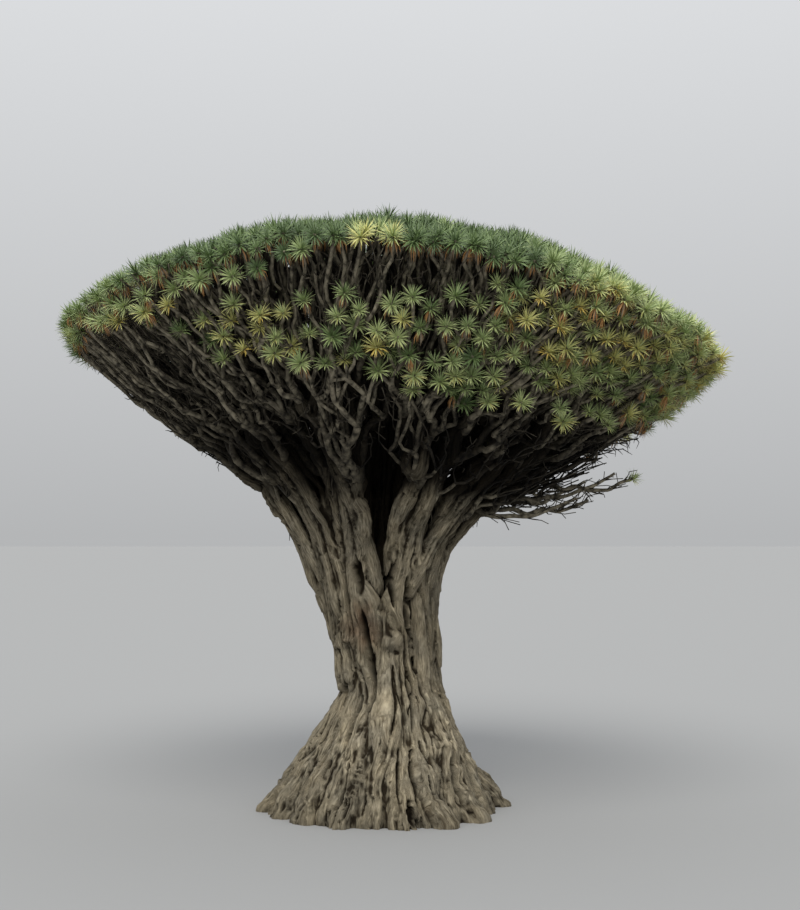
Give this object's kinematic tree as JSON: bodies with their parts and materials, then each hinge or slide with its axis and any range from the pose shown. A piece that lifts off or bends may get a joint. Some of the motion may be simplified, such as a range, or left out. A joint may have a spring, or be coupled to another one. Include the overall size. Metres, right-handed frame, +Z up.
{
  "type": "dragon blood tree",
  "caption": "Very old dragon blood tree: thick fluted trunk with a wide root flare, boughs fanning from its fork and a dense umbrella crown of sword-leaf rosettes.",
  "frame": {"origin": "middle of the flat cut under the trunk, at ground level", "axes": "+Z up along the trunk, +X to the right and -Y to the front, as the picture shows the tree"},
  "size_m": [18.9428, 17.0908, 16.5711],
  "materials": {
    "bark": "rough, fluted, weathered grey-brown bark",
    "twig_bark": "smoother grey bark of the crown's knobbly branches",
    "leaves_blue_green": "waxy blue-green sword leaves",
    "leaves_green": "waxy mid-green sword leaves",
    "leaves_yellow_green": "waxy yellow-green sword leaves",
    "leaves_dry": "matt, withered orange-brown leaves"
  },
  "bodies": {
    "root": {"trunk": "bark", "bough_back_left": "bark", "bough_back_right": "bark", "bough_front_left": "bark", "bough_front_right": "bark", "bough_inner_back": "bark", "bough_inner_front": "bark", "bough_inner_left": "bark", "bough_inner_right": "bark", "bough_left": "bark", "bough_left_back": "bark", "bough_left_front": "bark", "bough_right": "bark", "bough_right_back": "bark", "bough_right_front": "bark", "limb_low_right": "bark", "canopy_inner_1": "leaves_blue_green", "canopy_inner_2": "leaves_blue_green", "canopy_inner_3": "leaves_blue_green", "canopy_inner_4": "leaves_blue_green", "canopy_inner_5": "leaves_blue_green", "canopy_inner_6": "leaves_blue_green", "canopy_outer_1": "leaves_blue_green", "canopy_outer_10": "leaves_blue_green", "canopy_outer_11": "leaves_blue_green", "canopy_outer_2": "leaves_blue_green", "canopy_outer_3": "leaves_blue_green", "canopy_outer_4": "leaves_blue_green", "canopy_outer_5": "leaves_blue_green", "canopy_outer_6": "leaves_blue_green", "canopy_outer_7": "leaves_blue_green", "canopy_outer_8": "leaves_blue_green", "canopy_outer_9": "leaves_blue_green", "canopy_top": "leaves_blue_green", "skirt_back_left": "leaves_green", "skirt_back_right": "leaves_green", "skirt_front_left": "leaves_green", "skirt_front_right": "leaves_green", "skirt_left": "leaves_green", "skirt_left_back": "leaves_green", "skirt_left_front": "leaves_green", "skirt_right": "leaves_green", "skirt_right_back": "leaves_green", "skirt_right_front": "leaves_green", "tuft_low_right": "leaves_green"}
  },
  "joints": []
}
